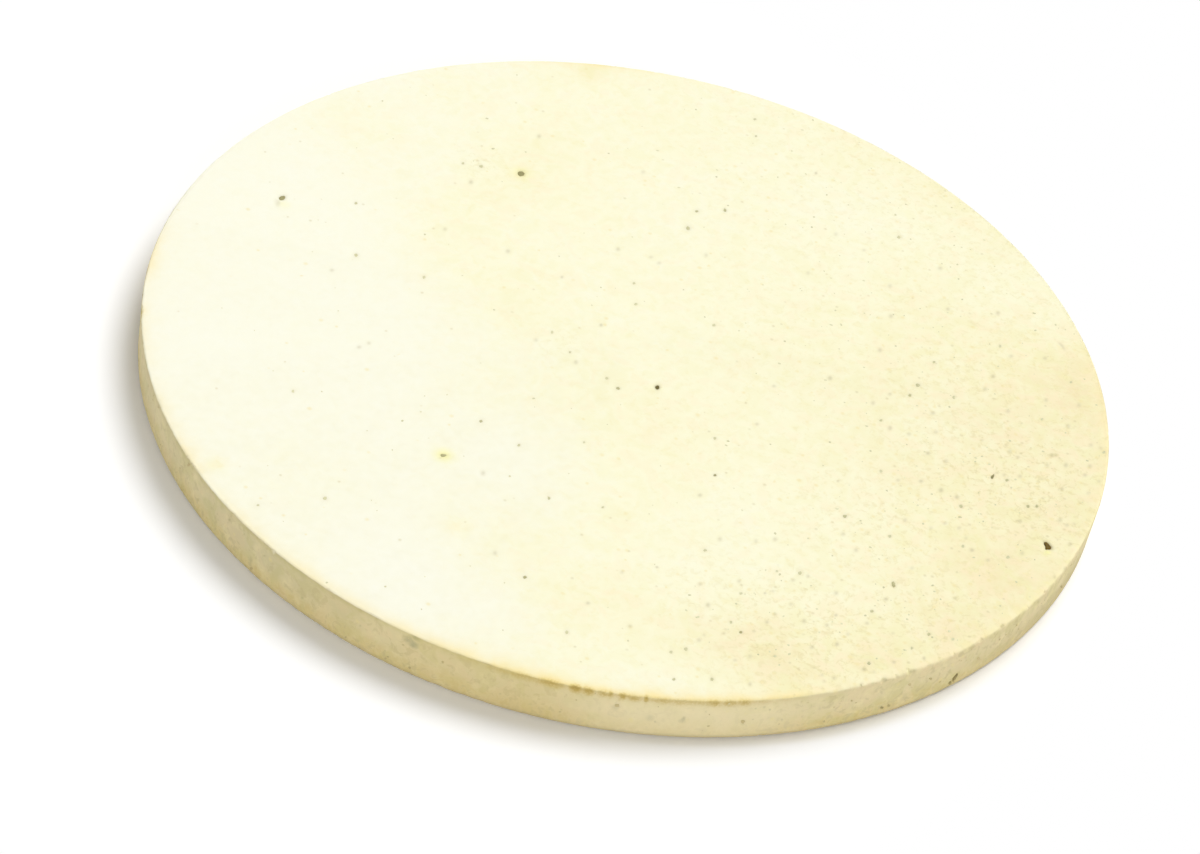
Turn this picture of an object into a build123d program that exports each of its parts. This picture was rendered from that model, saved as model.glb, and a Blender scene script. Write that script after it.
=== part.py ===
from build123d import *
import os

# Round pizza stone, in millimetres. +Z is up, and the origin is the centre of the underside,
# so the stone lies on z = 0 with its baking face upwards.

# Driving sizes
stone_diameter = 330.0
stone_thickness = 17.0
baking_arris_radius = 1.0
underside_arris_radius = 1.5


def stone_disc():
    """One solid fired disc with a straight rim and both of its arrises rounded."""
    blank = Cylinder(
        radius=stone_diameter / 2,
        height=stone_thickness,
        align=(Align.CENTER, Align.CENTER, Align.MIN),
    )
    baking_arris = blank.faces().sort_by(Axis.Z)[-1].edges()
    rounded_above = fillet(baking_arris, baking_arris_radius)
    underside_arris = rounded_above.faces().sort_by(Axis.Z)[0].edges()
    rounded = fillet(underside_arris, underside_arris_radius)
    rounded.label = "stone_disc"
    return rounded


os.makedirs("parts", exist_ok=True)
export_step(stone_disc(), "parts/stone_disc.step")
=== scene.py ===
import bmesh
import bpy
import math
import random
from collections import namedtuple

import numpy as np
from mathutils import Matrix, Vector, noise
from mathutils.geometry import delaunay_2d_cdt


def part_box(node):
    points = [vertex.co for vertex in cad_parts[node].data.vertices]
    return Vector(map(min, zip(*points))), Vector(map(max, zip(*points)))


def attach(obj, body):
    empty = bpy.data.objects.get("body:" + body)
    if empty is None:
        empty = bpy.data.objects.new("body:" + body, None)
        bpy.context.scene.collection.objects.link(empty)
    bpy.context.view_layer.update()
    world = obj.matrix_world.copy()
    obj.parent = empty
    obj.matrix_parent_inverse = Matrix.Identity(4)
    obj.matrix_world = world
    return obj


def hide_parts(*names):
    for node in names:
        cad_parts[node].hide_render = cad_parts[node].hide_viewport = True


# Round pizza stone of pale fired clay, lying on its underside. Sizes are in metres.

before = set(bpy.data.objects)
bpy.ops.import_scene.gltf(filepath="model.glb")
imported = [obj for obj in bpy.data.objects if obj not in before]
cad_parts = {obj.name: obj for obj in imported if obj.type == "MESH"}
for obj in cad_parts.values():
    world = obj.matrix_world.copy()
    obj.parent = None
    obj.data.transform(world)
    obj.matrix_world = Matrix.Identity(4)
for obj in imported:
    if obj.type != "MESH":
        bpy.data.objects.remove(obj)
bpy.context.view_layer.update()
stone_low, stone_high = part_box("stone_disc")

mm = 0.001
tolerance = 0.01 * mm

# The stone's outline
stone_radius = (stone_high.x - stone_low.x) / 2
stone_thickness = stone_high.z
baking_arris_radius = 0.6 * mm
underside_arris_radius = 1.5 * mm
face_middle = Vector((0, 0, stone_thickness))

# The camera, in the photograph's frame
photo_width = 1200
photo_height = 854
lens_length = 94.5
sensor_width = 36.0
focal_in_pixels = lens_length / sensor_width * photo_width
camera_pitch = math.radians(40.29)
camera_roll = math.radians(12.31)
camera_distance = 1.0652
face_middle_pixel = (632.9, 344.8)


def camera_turn():
    """The camera's rotation: pitched down, then rolled about its own axis."""
    pitched = Matrix.Rotation(math.pi / 2 - camera_pitch, 3, "X")
    rolled = Matrix.Rotation(camera_roll, 3, "Z")
    return pitched @ rolled


def ray_through(pixel):
    """Direction from the lens through a pixel of the photograph."""
    across = (pixel[0] - photo_width / 2) / focal_in_pixels
    up = (photo_height / 2 - pixel[1]) / focal_in_pixels
    return (camera_turn() @ Vector((across, up, -1))).normalized()


camera_place = face_middle - ray_through(face_middle_pixel) * camera_distance


def on_face(pixel):
    """The point of the baking face behind a pixel."""
    ray = ray_through(pixel)
    return camera_place + ray * ((stone_thickness - camera_place.z) / ray.z)


def on_rim(pixel):
    """The point of the rim behind a pixel."""
    ray = ray_through(pixel)
    flat_ray = ray.xy
    flat_place = camera_place.xy
    square = flat_ray.dot(flat_ray)
    half = flat_ray.dot(flat_place)
    rest = flat_place.dot(flat_place) - stone_radius ** 2
    inside = max(half * half - square * rest, 0)
    return camera_place + ray * ((-half - math.sqrt(inside)) / square)


def pixel_size(place):
    """Length that one pixel covers at a place."""
    view_axis = camera_turn() @ Vector((0, 0, -1))
    return (place - camera_place).dot(view_axis) / focal_in_pixels


longest_pixel_step = 2.2


def picture_axes(locate, pixel):
    """Steps along the skin that one pixel across and one pixel up cover, at a pixel."""
    px, py = pixel
    across = (locate((px + 1, py)) - locate((px - 1, py))) / 2
    up = (locate((px, py - 1)) - locate((px, py + 1))) / 2
    longest = longest_pixel_step * pixel_size(locate(pixel))
    across *= min(1, longest / across.length)
    up *= min(1, longest / up.length)
    return across, up


# Distances along the outline from the middle of the baking face
face_edge = stone_radius - baking_arris_radius
rim_start = face_edge + baking_arris_radius * math.pi / 2
rim_height = stone_thickness - baking_arris_radius - underside_arris_radius
rim_end = rim_start + rim_height
underside_edge = rim_end + underside_arris_radius * math.pi / 2
lap = 5.0 * mm
skin_end = underside_edge + lap
underside_radius = stone_radius - underside_arris_radius


def outline_at(way):
    """Radius, height and outward lean of the outline at distances along it."""
    upper_turn = np.clip((way - face_edge) / baking_arris_radius, 0, math.pi / 2)
    lower_turn = np.clip((way - rim_end) / underside_arris_radius, 0, math.pi / 2)
    radius = np.minimum(way, face_edge) + baking_arris_radius * np.sin(upper_turn)
    radius -= underside_arris_radius * (1 - np.cos(lower_turn)) + np.maximum(way - underside_edge, 0)
    height = stone_thickness - baking_arris_radius * (1 - np.cos(upper_turn))
    height -= np.clip(way - rim_start, 0, rim_height) + underside_arris_radius * np.sin(lower_turn)
    lean = upper_turn + lower_turn
    return radius, height, np.sin(lean), np.cos(lean)


def unrolled(place):
    """Where a point of the outside lies when the skin is spread flat round the face."""
    flat = Vector((place.x, place.y))
    if place.z > stone_thickness - tolerance:
        return flat
    return flat.normalized() * (rim_start + stone_thickness - baking_arris_radius - place.z)


# Outlined spots: their corners by pixel, and darkness from 0 to 1
face_blots = [
    ([(278.2, 197.6), (280.4, 195.6), (284, 195), (286.2, 196.2), (285.4, 198.6), (282.6, 200.2),
      (279.6, 200)], 0.57),
    ([(275.6, 199), (280.4, 199), (281, 202.6), (279.4, 206), (276.4, 206), (274.8, 202.6)], 0.2),
    ([(517.2, 172.2), (519, 170.4), (523, 170.8), (525.2, 173), (524.2, 175.4), (520.5, 176.2),
      (517.8, 174.8)], 0.61),
    ([(1043.2, 541), (1046.3, 540.8), (1049, 543), (1052.4, 546.6), (1051.8, 549.2), (1048.4, 549),
      (1045.2, 549.6), (1045.5, 546.2), (1044.2, 543.8)], 1.0),
    ([(990.6, 477.4), (991, 475.6), (992.4, 474.9), (993.8, 473.2), (994.6, 473.9), (994.1, 476.2),
      (993.2, 478.4), (991.4, 478.9)], 0.68),
    ([(439.5, 454.5), (441.5, 453.4), (445, 454), (447.8, 454.6), (445.5, 456.4), (441.5, 456.8)], 0.46),
    ([(891.2, 581.5), (893.5, 580.5), (895.8, 583), (896, 586.5), (893.6, 588), (891.6, 585.5)], 0.42),
    ([(1057, 341.5), (1060.5, 342), (1064, 345), (1066, 349.5), (1064.5, 351), (1062, 347.5),
      (1059, 344.5)], 0.22),
]
rim_blots = [
    ([(958.6, 672.8), (959.6, 673.6), (956.6, 678), (955.4, 680.6), (953.4, 681.6), (952.6, 680),
      (955, 676.6)], 0.58),
    ([(951.6, 681.4), (952.2, 683.4), (949.8, 685.6), (948.6, 684.4), (949.6, 682)], 0.54),
    ([(953.6, 682.6), (954, 684.2), (952.6, 685.6), (952, 684.2)], 0.38),
]
# Iron spots of the face: pixel across, pixel down, width in pixels, darkness
iron_spots = [
    (657.3, 387, 5.3, 0.86), (845, 516, 5.5, 0.38), (918, 385, 6, 0.36), (688, 228, 5.8, 0.33),
    (961, 506, 5.2, 0.34), (525, 577, 5, 0.45), (481, 421, 4.6, 0.4), (618, 388, 5.4, 0.4),
    (715, 475, 4.4, 0.5), (741, 632, 4.2, 0.52), (697, 211, 4.6, 0.38), (725, 210, 4.6, 0.38),
    (1104, 452, 4.6, 0.26), (872, 611, 5, 0.33), (910, 395, 4.6, 0.4), (1028, 506, 4.6, 0.42),
    (1037, 506, 4.4, 0.4), (1007, 480, 4.8, 0.38), (881, 420, 4.4, 0.34), (934, 362, 4.4, 0.36),
    (929, 634, 4.8, 0.38), (869, 663, 5, 0.38), (674, 679, 4.4, 0.32), (874, 684, 7, 0.2),
    (886, 680, 8, 0.2), (899, 680, 10, 0.22), (915, 672, 10, 0.22), (931, 666, 7, 0.2),
    (984, 640, 7, 0.21), (1004, 626, 7, 0.2),
]
# Smaller spots of the face, all about as wide: pixel across, pixel down
small_iron_spots = [
    (356, 203), (356, 255), (463, 163), (481, 166), (755, 119), (756, 136), (424, 277), (562, 277),
    (634, 283), (636, 304), (601, 325), (552, 332), (570, 352), (607, 378), (293, 391), (258, 505),
    (325, 498), (519, 445), (584, 442), (549, 498), (603, 507), (567, 632), (657, 567), (714, 325),
    (715, 438), (705, 550), (741, 593), (765, 593), (777, 571), (800, 573), (808, 576), (836, 615),
    (838, 481), (881, 471), (954, 397), (816, 173), (1042, 419), (1008, 557), (924, 658), (912, 648),
    (712, 679), (671, 652), (686, 649), (775, 656), (963, 546), (899, 237), (890, 536), (1000, 346),
    (1071, 382), (953, 639), (731, 622),
]
faint_spots = [
    (445, 229), (539, 136), (643, 172), (508, 251), (618, 249), (651, 257), (659, 263), (706, 255),
    (808, 273), (864, 250), (940, 268), (948, 309), (998, 313), (891, 316), (1045, 358), (1011, 356),
    (880, 350), (985, 389), (993, 376), (1046, 400), (933, 413), (928, 453), (1004, 475), (1047, 465),
    (1052, 455), (1056, 455), (1067, 525), (1074, 524), (1022, 553), (1066, 568), (955, 598), (843, 534),
    (756, 541), (775, 539), (700, 495), (700, 584), (708, 605), (754, 631), (767, 622), (848, 634),
    (837, 644), (867, 623), (750, 684), (822, 675), (824, 681), (483, 473), (588, 603), (495, 553),
    (622, 572), (630, 626), (359, 347), (369, 343), (332, 270), (774, 386), (757, 424), (830, 378),
    (873, 403), (890, 394), (890, 428), (720, 539), (471, 182), (812, 647), (827, 625), (890, 286),
    (536, 340), (576, 362), (836, 234), (804, 621), (775, 614), (791, 604), (886, 599), (864, 669),
    (874, 672), (862, 684), (834, 678), (893, 633), (894, 662), (699, 640), (704, 635), (724, 633),
    (750, 656), (735, 660), (739, 581), (773, 591), (793, 580), (836, 593), (856, 550), (1008, 411),
    (1079, 405), (936, 432), (909, 434), (982, 440), (946, 461), (1010, 451), (1018, 457), (1091, 445),
    (1101, 448), (1068, 426), (1066, 465), (1090, 466), (1020, 476), (898, 480), (921, 481), (1062, 489),
    (1085, 475), (1099, 481), (1088, 493), (941, 490), (957, 497), (1020, 521), (1060, 520), (931, 528),
    (945, 523), (959, 528), (905, 520), (966, 538), (972, 550), (1070, 544), (912, 568), (988, 560),
    (1055, 577),
]
# Spots of the rim: pixel across, pixel down, width in pixels, darkness
rim_spots = [
    (158, 407, 4, 0.24), (188, 465, 5, 0.28), (229, 520, 4.4, 0.2), (250, 575, 5, 0.3),
    (385, 660, 3.4, 0.3), (617, 706, 6, 0.28), (743, 722, 6, 0.26), (782, 720, 4, 0.2),
    (770, 710, 3.4, 0.22), (820, 709, 4.4, 0.16), (882, 708, 4.6, 0.5), (889, 706, 4, 0.36),
    (910, 685, 4, 0.24), (931, 679, 4, 0.34), (979, 659, 5, 0.24), (1051, 605, 5, 0.2),
    (1062, 587, 5.5, 0.42), (852, 701, 3.4, 0.32), (1000, 657, 4, 0.24), (1017, 640, 4, 0.24),
    (684, 718, 5, 0.2), (264, 556, 3.4, 0.22), (302, 598, 4, 0.2), (345, 640, 3.4, 0.28),
    (452, 668, 3.4, 0.18), (500, 694, 3.4, 0.2), (560, 712, 3.4, 0.24), (655, 722, 3.4, 0.18),
    (706, 712, 3.4, 0.16), (360, 626, 3.6, 0.2),
]
# Widths in pixels and darknesses of the spots that are listed by place alone: least and most
small_spot_widths = (3.84, 5.24)
small_spot_darknesses = (0.2, 0.32)
faint_spot_widths = (5.4, 6.4)
faint_spot_darknesses = (0.13, 0.21)
spot_heights_by_width = (0.72, 1.08)
photo_blur_in_pixels = 1.0
least_spot_in_pixels = 1.6
least_grain_darkness = 0.22
lowest_rim_spot = 2.4 * mm
highest_rim_spot = stone_thickness - 1.6 * mm

Spot = namedtuple("Spot", "place across up darkness corners")
Grain = namedtuple("Grain", "place across up outward half_depth darkness corners")


def straight_out(place):
    """Outward direction of the skin at a place of the face, the rim or the underside."""
    if place.z > stone_thickness - tolerance:
        return Vector((0, 0, 1))
    if place.z < tolerance:
        return Vector((0, 0, -1))
    return Vector((place.x, place.y, 0)).normalized()


def hashed(*values):
    """A steady number from 0 to 1 for some values."""
    return random.Random(repr(values)).random()


def between(least, most, share):
    """The number that lies a share of the way from the least to the most."""
    return least + (most - least) * share


def picture_spot(locate, pixel, width_in_pixels, darkness):
    """A spot about as tall as wide in the picture. Part of its width is the photograph's blur."""
    across, up = picture_axes(locate, pixel)
    half = max(width_in_pixels - photo_blur_in_pixels, least_spot_in_pixels) / 2
    tall = between(*spot_heights_by_width, hashed("tall", pixel))
    return Spot(locate(pixel), across * half, up * half * tall, darkness, None)


def outlined_spot(locate, corners, darkness):
    """A spot with the given corners in the picture."""
    middle = (sum(px for px, _ in corners) / len(corners), sum(py for _, py in corners) / len(corners))
    across, up = picture_axes(locate, middle)
    outline = np.array([(px - middle[0], middle[1] - py) for px, py in corners])
    half = float(np.mean(np.hypot(outline[:, 0], outline[:, 1])))
    return Spot(locate(middle), across * half, up * half, darkness, outline / half)


def listed_spots(locate, rows, blots):
    """Plain spots from their rows, then the outlined ones."""
    spots = [picture_spot(locate, (px, py), width, darkness) for px, py, width, darkness in rows]
    return spots + [outlined_spot(locate, corners, darkness) for corners, darkness in blots]


def small_spot(pixel):
    width = between(*small_spot_widths, hashed("wide", pixel))
    return picture_spot(on_face, pixel, width, between(*small_spot_darknesses, hashed(pixel)))


def faint_spot(pixel):
    width = between(*faint_spot_widths, hashed(pixel))
    return picture_spot(on_face, pixel, width, between(*faint_spot_darknesses, hashed(pixel)))


def held_on_rim(spot):
    """The spot, kept off the rounded arrises of the rim."""
    place = spot.place.copy()
    place.z = min(max(place.z, lowest_rim_spot), highest_rim_spot)
    return spot._replace(place=place)


def spot_reach(spot):
    return max(spot.across.length, spot.up.length)


main_spots = listed_spots(on_face, iron_spots, face_blots)
small_spots = [small_spot(pixel) for pixel in small_iron_spots]
small_spots += [faint_spot(pixel) for pixel in faint_spots]
edge_spots = [held_on_rim(spot) for spot in listed_spots(on_rim, rim_spots, rim_blots)]
all_spots = main_spots + small_spots + edge_spots
grain_spots = [spot for spot in all_spots if spot.darkness > least_grain_darkness]

nearly_zero = 1e-9
least_outline_reach = 0.1


def outline_reach(corners, angle):
    """Distance from the middle to the outline of a star-shaped ring of corners, at each angle."""
    way = np.stack([np.cos(angle), np.sin(angle)], axis=-1)
    reach = np.zeros(len(angle))
    for start, end in zip(corners, np.roll(corners, -1, axis=0)):
        edge = end - start
        cross = way[:, 0] * edge[1] - way[:, 1] * edge[0]
        cross = np.where(np.abs(cross) < nearly_zero, nearly_zero, cross)
        out = (start[0] * edge[1] - start[1] * edge[0]) / cross
        along = (start[0] * way[:, 1] - start[1] * way[:, 0]) / cross
        hit = (along >= 0) & (along <= 1) & (out > reach)
        reach = np.where(hit, out, reach)
    return np.maximum(reach, least_outline_reach)


def spot_distance(points, spot):
    """Distance of each point from a spot's middle: 1 on its outline."""
    offset = points - np.array(spot.place)
    flat = offset @ np.linalg.pinv(np.array([spot.across, spot.up]))
    away = np.hypot(flat[:, 0], flat[:, 1])
    if spot.corners is not None:
        away = away / outline_reach(spot.corners, np.arctan2(flat[:, 1], flat[:, 0]))
    beyond = offset @ np.array(straight_out(spot.place)) / spot_reach(spot)
    return np.hypot(away, beyond)


# Chips along the arrises. A share down of 1 cuts in at 45 degrees, and more cuts steeper
Chip = namedtuple("Chip", "bearing length bite height share_down")
plain_share_down = 1.0
nick_share_down = 1.2
dent_share_down = 0.8

# Chips of the baking arris: pixel across, pixel down, length and bite in millimetres
face_chips = [
    (733, 92, 2.4, 0.6), (143, 240, 2.0, 0.4), (145, 312, 2.2, 0.45), (197, 465, 2.0, 0.45),
    (645, 700, 2.6, 0.6), (795, 699, 2.0, 0.4), (811, 698, 1.8, 0.35), (1100, 390, 2.2, 0.45),
]
# Chips out of view: name, arris height, least and most millimetres long, bite by length, bearings
unseen_chips = [
    ("lower", 0, (1.6, 3.2), 0.26, [-2.62, -2.05, -1.18, -0.36, 0.55, 1.4, 2.3, 2.95]),
    ("behind", stone_thickness, (1.4, 2.6), 0.22, [0.35, 0.9, 1.75, 2.45]),
]
nick_count = 96
nick_lengths = (0.8, 2.0)
least_nick_bite = 0.14
nick_bite_by_length = 0.12
share_of_nicks_above = 0.6
# Dents in the worn stretch of the baking arris: pixel across, down, length and depth in millimetres
dents = [
    (862, 687, 3.4, 0.2), (885, 681, 4.4, 0.5), (899, 677, 3.0, 0.35), (913, 672, 5.2, 0.6),
    (931, 666, 3.6, 0.3), (957, 655, 3.2, 0.25), (983, 640, 4.0, 0.35), (1004, 626, 3.6, 0.4),
    (1030, 607, 3.0, 0.25), (1047, 592, 3.0, 0.3),
]
worn_corner_cut = 0.5


def at_bearing(bearing, radius, height):
    """The point at a bearing, a distance from the stone's axis and a height."""
    return Vector((radius * math.cos(bearing), radius * math.sin(bearing), height))


def bearing_of(place):
    return math.atan2(place.y, place.x)


def face_chip(pixel, length, bite, share_down):
    """A chip out of the arris round the baking face, by its pixel."""
    return Chip(bearing_of(on_face(pixel)), length * mm, bite * mm, stone_thickness, share_down)


def nick(number):
    """A very small chip out of either arris, at any bearing."""
    length = between(*nick_lengths, hashed("nick", number) ** 2)
    bite = least_nick_bite + nick_bite_by_length * length
    height = stone_thickness if hashed("side", number) < share_of_nicks_above else 0
    return Chip(math.tau * hashed("turn", number), length * mm, bite * mm, height, nick_share_down)


def all_chips():
    """The chips in view, those out of view, the nicks and the dents, in this order."""
    found = [face_chip((px, py), length, bite, plain_share_down) for px, py, length, bite in face_chips]
    for name, height, lengths, bite_by_length, bearings in unseen_chips:
        for number, bearing in enumerate(bearings):
            length = between(*lengths, hashed(name, number))
            found.append(Chip(bearing, length * mm, bite_by_length * length * mm, height, plain_share_down))
    found += [nick(number) for number in range(nick_count)]
    for px, py, length, depth in dents:
        found.append(face_chip((px, py), length, worn_corner_cut + depth, dent_share_down))
    return found


chips = all_chips()
seed_shift = (7.31, 3.17, 5.77)


def noise_at(points, size, seed):
    """Smooth noise from about -1 to 1 at each point, with bumps of a size."""
    shift = Vector([seed * step for step in seed_shift])
    return np.array([noise.noise(Vector(point) / size + shift) for point in points])


def noises_at(points, layers, number=0):
    """A sum of noises, each with its bump size, seed and strength. The number varies the seeds."""
    return sum(noise_at(points, size, seed + number) * strength for size, seed, strength in layers)


def bell(away, steepness=2):
    """Fades from 1 where the distance is 0 to about a third where it is 1."""
    return np.exp(-np.abs(away) ** steepness)


def smooth_step(value, low, high):
    share = np.clip((value - low) / (high - low), 0, 1)
    return share * share * (3 - 2 * share)


def turn_from(points, bearing):
    """How far round from a bearing each point lies, at most half a turn either way."""
    return np.angle(np.exp(1j * (np.arctan2(points[:, 1], points[:, 0]) - bearing)))


# Spacing of the mesh
around_count = 960
seam_count = around_count // 2
arris_steps = 6
rim_row_height = 1.25 * mm
rim_row_margin = 0.35 * mm
face_spacing = 2.1 * mm
face_grid_margin = 6 * mm
underside_spacing = 3.0 * mm
underside_grid_margin = 2 * mm
grid_jitter = 0.16
# Rings near the flats' edges: millimetres from the edge, and quarters of the full count round
face_rings = [(4.6, 2), (3.0, 3), (1.8, 4), (0.9, 4), (0.3, 4)]
underside_rings = [(0.4, 4), (1.4, 4), (2.9, 3)]
# Finer points: their spacing, and how far they reach past a spot or a chip
spot_spacing = 0.26 * mm
spot_reach_share = 1.7
spot_reach_margin = 0.3 * mm
chip_spacing = 0.2 * mm
chip_reach_share = 0.75
chip_reach_margin = 0.8 * mm
chip_middle_depth = 0.5 * mm
coarse_guard = 0.6 * mm
ring_growth = 1.16
ring_closeness = 0.87
merge_distance = 0.02


def scattered_points(radius, spacing, seed):
    """Points of a jittered triangular grid inside a circle."""
    chance = np.random.default_rng(seed)
    row_step = spacing * math.sqrt(3) / 2
    rows = int(radius / row_step) + 1
    columns = int(radius / spacing) + 2
    row, column = np.mgrid[-rows:rows + 1, -columns:columns + 1]
    across = (column + (row % 2) / 2) * spacing
    points = np.stack([across.ravel(), (row * row_step).ravel()], axis=1)
    points += chance.uniform(-grid_jitter, grid_jitter, points.shape) * spacing
    return points[np.hypot(points[:, 0], points[:, 1]) < radius]


def ring_points(way, count, offset=0.0):
    angle = (np.arange(count) + offset) * (2 * math.pi / count)
    return np.stack([way * np.cos(angle), way * np.sin(angle)], axis=1)


def skin_base_points():
    """Points spread over the face, the arrises and the rim, laid out flat."""
    layers = [scattered_points(face_edge - face_grid_margin, face_spacing, 11)]
    for inset, quarters in face_rings:
        layers.append(ring_points(face_edge - inset * mm, around_count * quarters // 4))
    runs = [
        (face_edge, rim_start - face_edge, arris_steps),
        (rim_start + rim_row_margin, rim_height - 2 * rim_row_margin, round(rim_height / rim_row_height)),
        (rim_end, underside_edge - rim_end, arris_steps),
    ]
    for start, run, steps in runs:
        layers += [ring_points(start + run * step / steps, around_count) for step in range(steps + 1)]
    for inset, quarters in underside_rings:
        layers.append(ring_points(underside_edge + inset * mm, around_count * quarters // 4))
    return np.concatenate(layers)


def finer_rings(centre, reach, step):
    """Rings of points round a centre, each ring a little coarser than the last."""
    rings = [centre[None, :]]
    way = step
    pace = step
    number = 0
    while way <= reach:
        count = max(6, round(2 * math.pi * way / pace))
        rings.append(centre + ring_points(way, count, 0.5 * (number % 2)))
        pace *= ring_growth
        way += pace * ring_closeness
        number += 1
    return np.concatenate(rings)


def refined(points, marks):
    """Points with the coarse ones near each mark replaced by rings of finer ones."""
    finer = []
    taken = []
    for place, reach, step in marks:
        centre = np.array(unrolled(place))
        clear = reach + coarse_guard
        points = points[np.hypot(*(points - centre).T) > clear]
        around = finer_rings(centre, reach, step)
        for other, other_reach in taken:
            around = around[np.hypot(*(around - other).T) > other_reach]
        taken.append((centre, clear))
        finer.append(around)
    return np.concatenate([points] + finer)


def triangulated(points):
    """Triangles over points of a plane, turning anticlockwise."""
    scaled = [Vector(point) for point in points / mm]
    _, _, faces, source, _, _ = delaunay_2d_cdt(scaled, [], [], 0, merge_distance)
    first = [origin[0] for origin in source]
    triangles = np.array([[first[corner] for corner in face] for face in faces])
    corners = points[triangles]
    one = corners[:, 1] - corners[:, 0]
    two = corners[:, 2] - corners[:, 0]
    turned = one[:, 0] * two[:, 1] - one[:, 1] * two[:, 0] < 0
    triangles[turned] = triangles[turned][:, ::-1]
    return triangles


def finely_meshed_places():
    """Where the skin needs finer points: round the spots and the chips."""
    marks = []
    for spot in all_spots:
        marks.append((spot.place, spot_reach_share * spot_reach(spot) + spot_reach_margin, spot_spacing))
    for chip in chips:
        height = chip.height - chip_middle_depth if chip.height > 0 else underside_arris_radius / 2
        reach = chip_reach_share * chip.length + chip_reach_margin
        marks.append((at_bearing(chip.bearing, stone_radius, height), reach, chip_spacing))
    return marks


def stone_mesh_arrays():
    """Nominal places and outward directions of all mesh points, and the triangles."""
    skin = refined(skin_base_points(), finely_meshed_places())
    skin = np.concatenate([ring_points(skin_end, seam_count), skin])
    skin_faces = triangulated(skin)

    inner = scattered_points(underside_radius - lap - underside_grid_margin, underside_spacing, 12)
    under = np.concatenate([ring_points(underside_radius - lap, seam_count), inner])
    under_faces = triangulated(under)[:, ::-1]

    way = np.hypot(skin[:, 0], skin[:, 1])
    radius, height, lean_out, lean_up = outline_at(way)
    side = skin / np.maximum(way, nearly_zero)[:, None]
    places = np.column_stack([side * radius[:, None], height])
    outward = np.column_stack([side * lean_out[:, None], lean_up])

    under_places = np.column_stack([inner, np.zeros(len(inner))])
    under_outward = np.tile([0.0, 0.0, -1.0], (len(inner), 1))
    renumber = np.concatenate([np.arange(seam_count), np.arange(len(inner)) + len(skin)])
    triangles = np.concatenate([skin_faces, renumber[under_faces]])
    return np.concatenate([places, under_places]), np.concatenate([outward, under_outward]), triangles


# The fired skin lies a little inside the nominal outline. Each noise is a bump size, seed and strength
skin_inset = 0.06 * mm
skin_swell = 0.6
skin_noises = [(42 * mm, 1, 0.5), (11 * mm, 2, 0.35)]
side_inset = 0.07 * mm
side_band = 0.3 * mm
side_bump_size = 16 * mm
arris_wear = 0.22 * mm
arris_wear_noises = [(3.5 * mm, 6, 1.0), (1.4 * mm, 7, 0.6)]
least_arris_lean = 0.05
most_arris_lean = 0.98


def skin_depth(nominal, outward):
    """How deep the fired skin lies under the nominal outline at each point."""
    depth = skin_inset * (1 + skin_swell * noises_at(nominal, skin_noises))
    on_side = np.hypot(nominal[:, 0], nominal[:, 1]) > stone_radius - side_band
    depth += on_side * side_inset * (1 + noise_at(nominal, side_bump_size, 3))
    lean = np.abs(outward[:, 2])
    on_arris = (lean > least_arris_lean) & (lean < most_arris_lean)
    return depth + on_arris * arris_wear * np.maximum(noises_at(nominal, arris_wear_noises), 0)


pit_reach = 1.3
pit_raggedness = 0.2
pit_bump_size = 0.9 * mm
pit_depth_share = 0.4
pit_roundness = 0.8


def carve_pits(places, nominal, outward):
    """Small hollows round the iron spots."""
    ragged = 1 + pit_raggedness * noise_at(nominal, pit_bump_size, 5)
    for spot in grain_spots:
        away = spot_distance(nominal, spot) / pit_reach * ragged
        inside = away < 1
        share = (1 - away[inside] ** 2) ** pit_roundness
        depth = pit_depth_share * spot.darkness * min(spot.across.length, spot.up.length)
        places[inside] -= outward[inside] * (depth * share)[:, None]
    return places


# Each chip is cut by a lumpy ball, a little squeezed along the arris
ball_size_by_length = 0.85
ball_squeeze = 0.28
ball_start = 0.2 * mm
farthest_ball_reach = 1.4
ball_noises = [(0.35, 20, 0.13), (0.12, 60, 0.04)]


def carve_chips(places):
    """Bites out of the arrises: points inside each lumpy ball are pushed to its far side."""
    for number, chip in enumerate(chips):
        ball = chip.length * ball_size_by_length
        out = np.array([math.cos(chip.bearing), math.sin(chip.bearing), 0.0])
        up = np.array([0.0, 0.0, 1.0 if chip.height > 0 else -1.0])
        corner = out * stone_radius + np.array([0.0, 0.0, chip.height])
        slope = (out + up * chip.share_down) / math.sqrt(1 + chip.share_down ** 2)
        centre = corner + slope * (ball - chip.bite - ball_start)
        along = np.cross(slope, up)
        along /= np.linalg.norm(along)
        offset = places - centre
        squeezed = offset + np.outer(offset @ along, along) * ball_squeeze
        away = np.linalg.norm(squeezed, axis=1)
        near = np.nonzero(away < ball * farthest_ball_reach)[0]
        direction = squeezed[near] / away[near, None]
        reach = ball * (1 + noises_at(direction, ball_noises, number))
        inside = away[near] < reach
        moved = near[inside]
        places[moved] = centre + offset[moved] * (reach[inside] / away[moved])[:, None]
    return places


# The baking arris is worn rounder on one side than elsewhere
worn_arris_radius = 1.6 * mm
plain_arris_radius = 0.7 * mm
most_worn_bearing = math.radians(318)
worn_spread = math.radians(38)
worn_radius_noises = [(9 * mm, 41, 0.25), (3.5 * mm, 42, 0.2)]
worn_side_inset = 0.08 * mm
worn_top_inset = 0.06 * mm
# Where on the rounded arris the face's tone turns to the rim's, in degrees from level
rim_tone_start = 34
rim_tone_end = 70
rim_tone_raggedness = 13
rim_tone_bump_size = 2 * mm


def worn_radius(places):
    """The radius that the baking arris is worn to, which varies round the stone."""
    most_worn = bell(turn_from(places, most_worn_bearing) / worn_spread)
    worn = between(plain_arris_radius, worn_arris_radius, most_worn)
    return worn * (1 + noises_at(places, worn_radius_noises))


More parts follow.
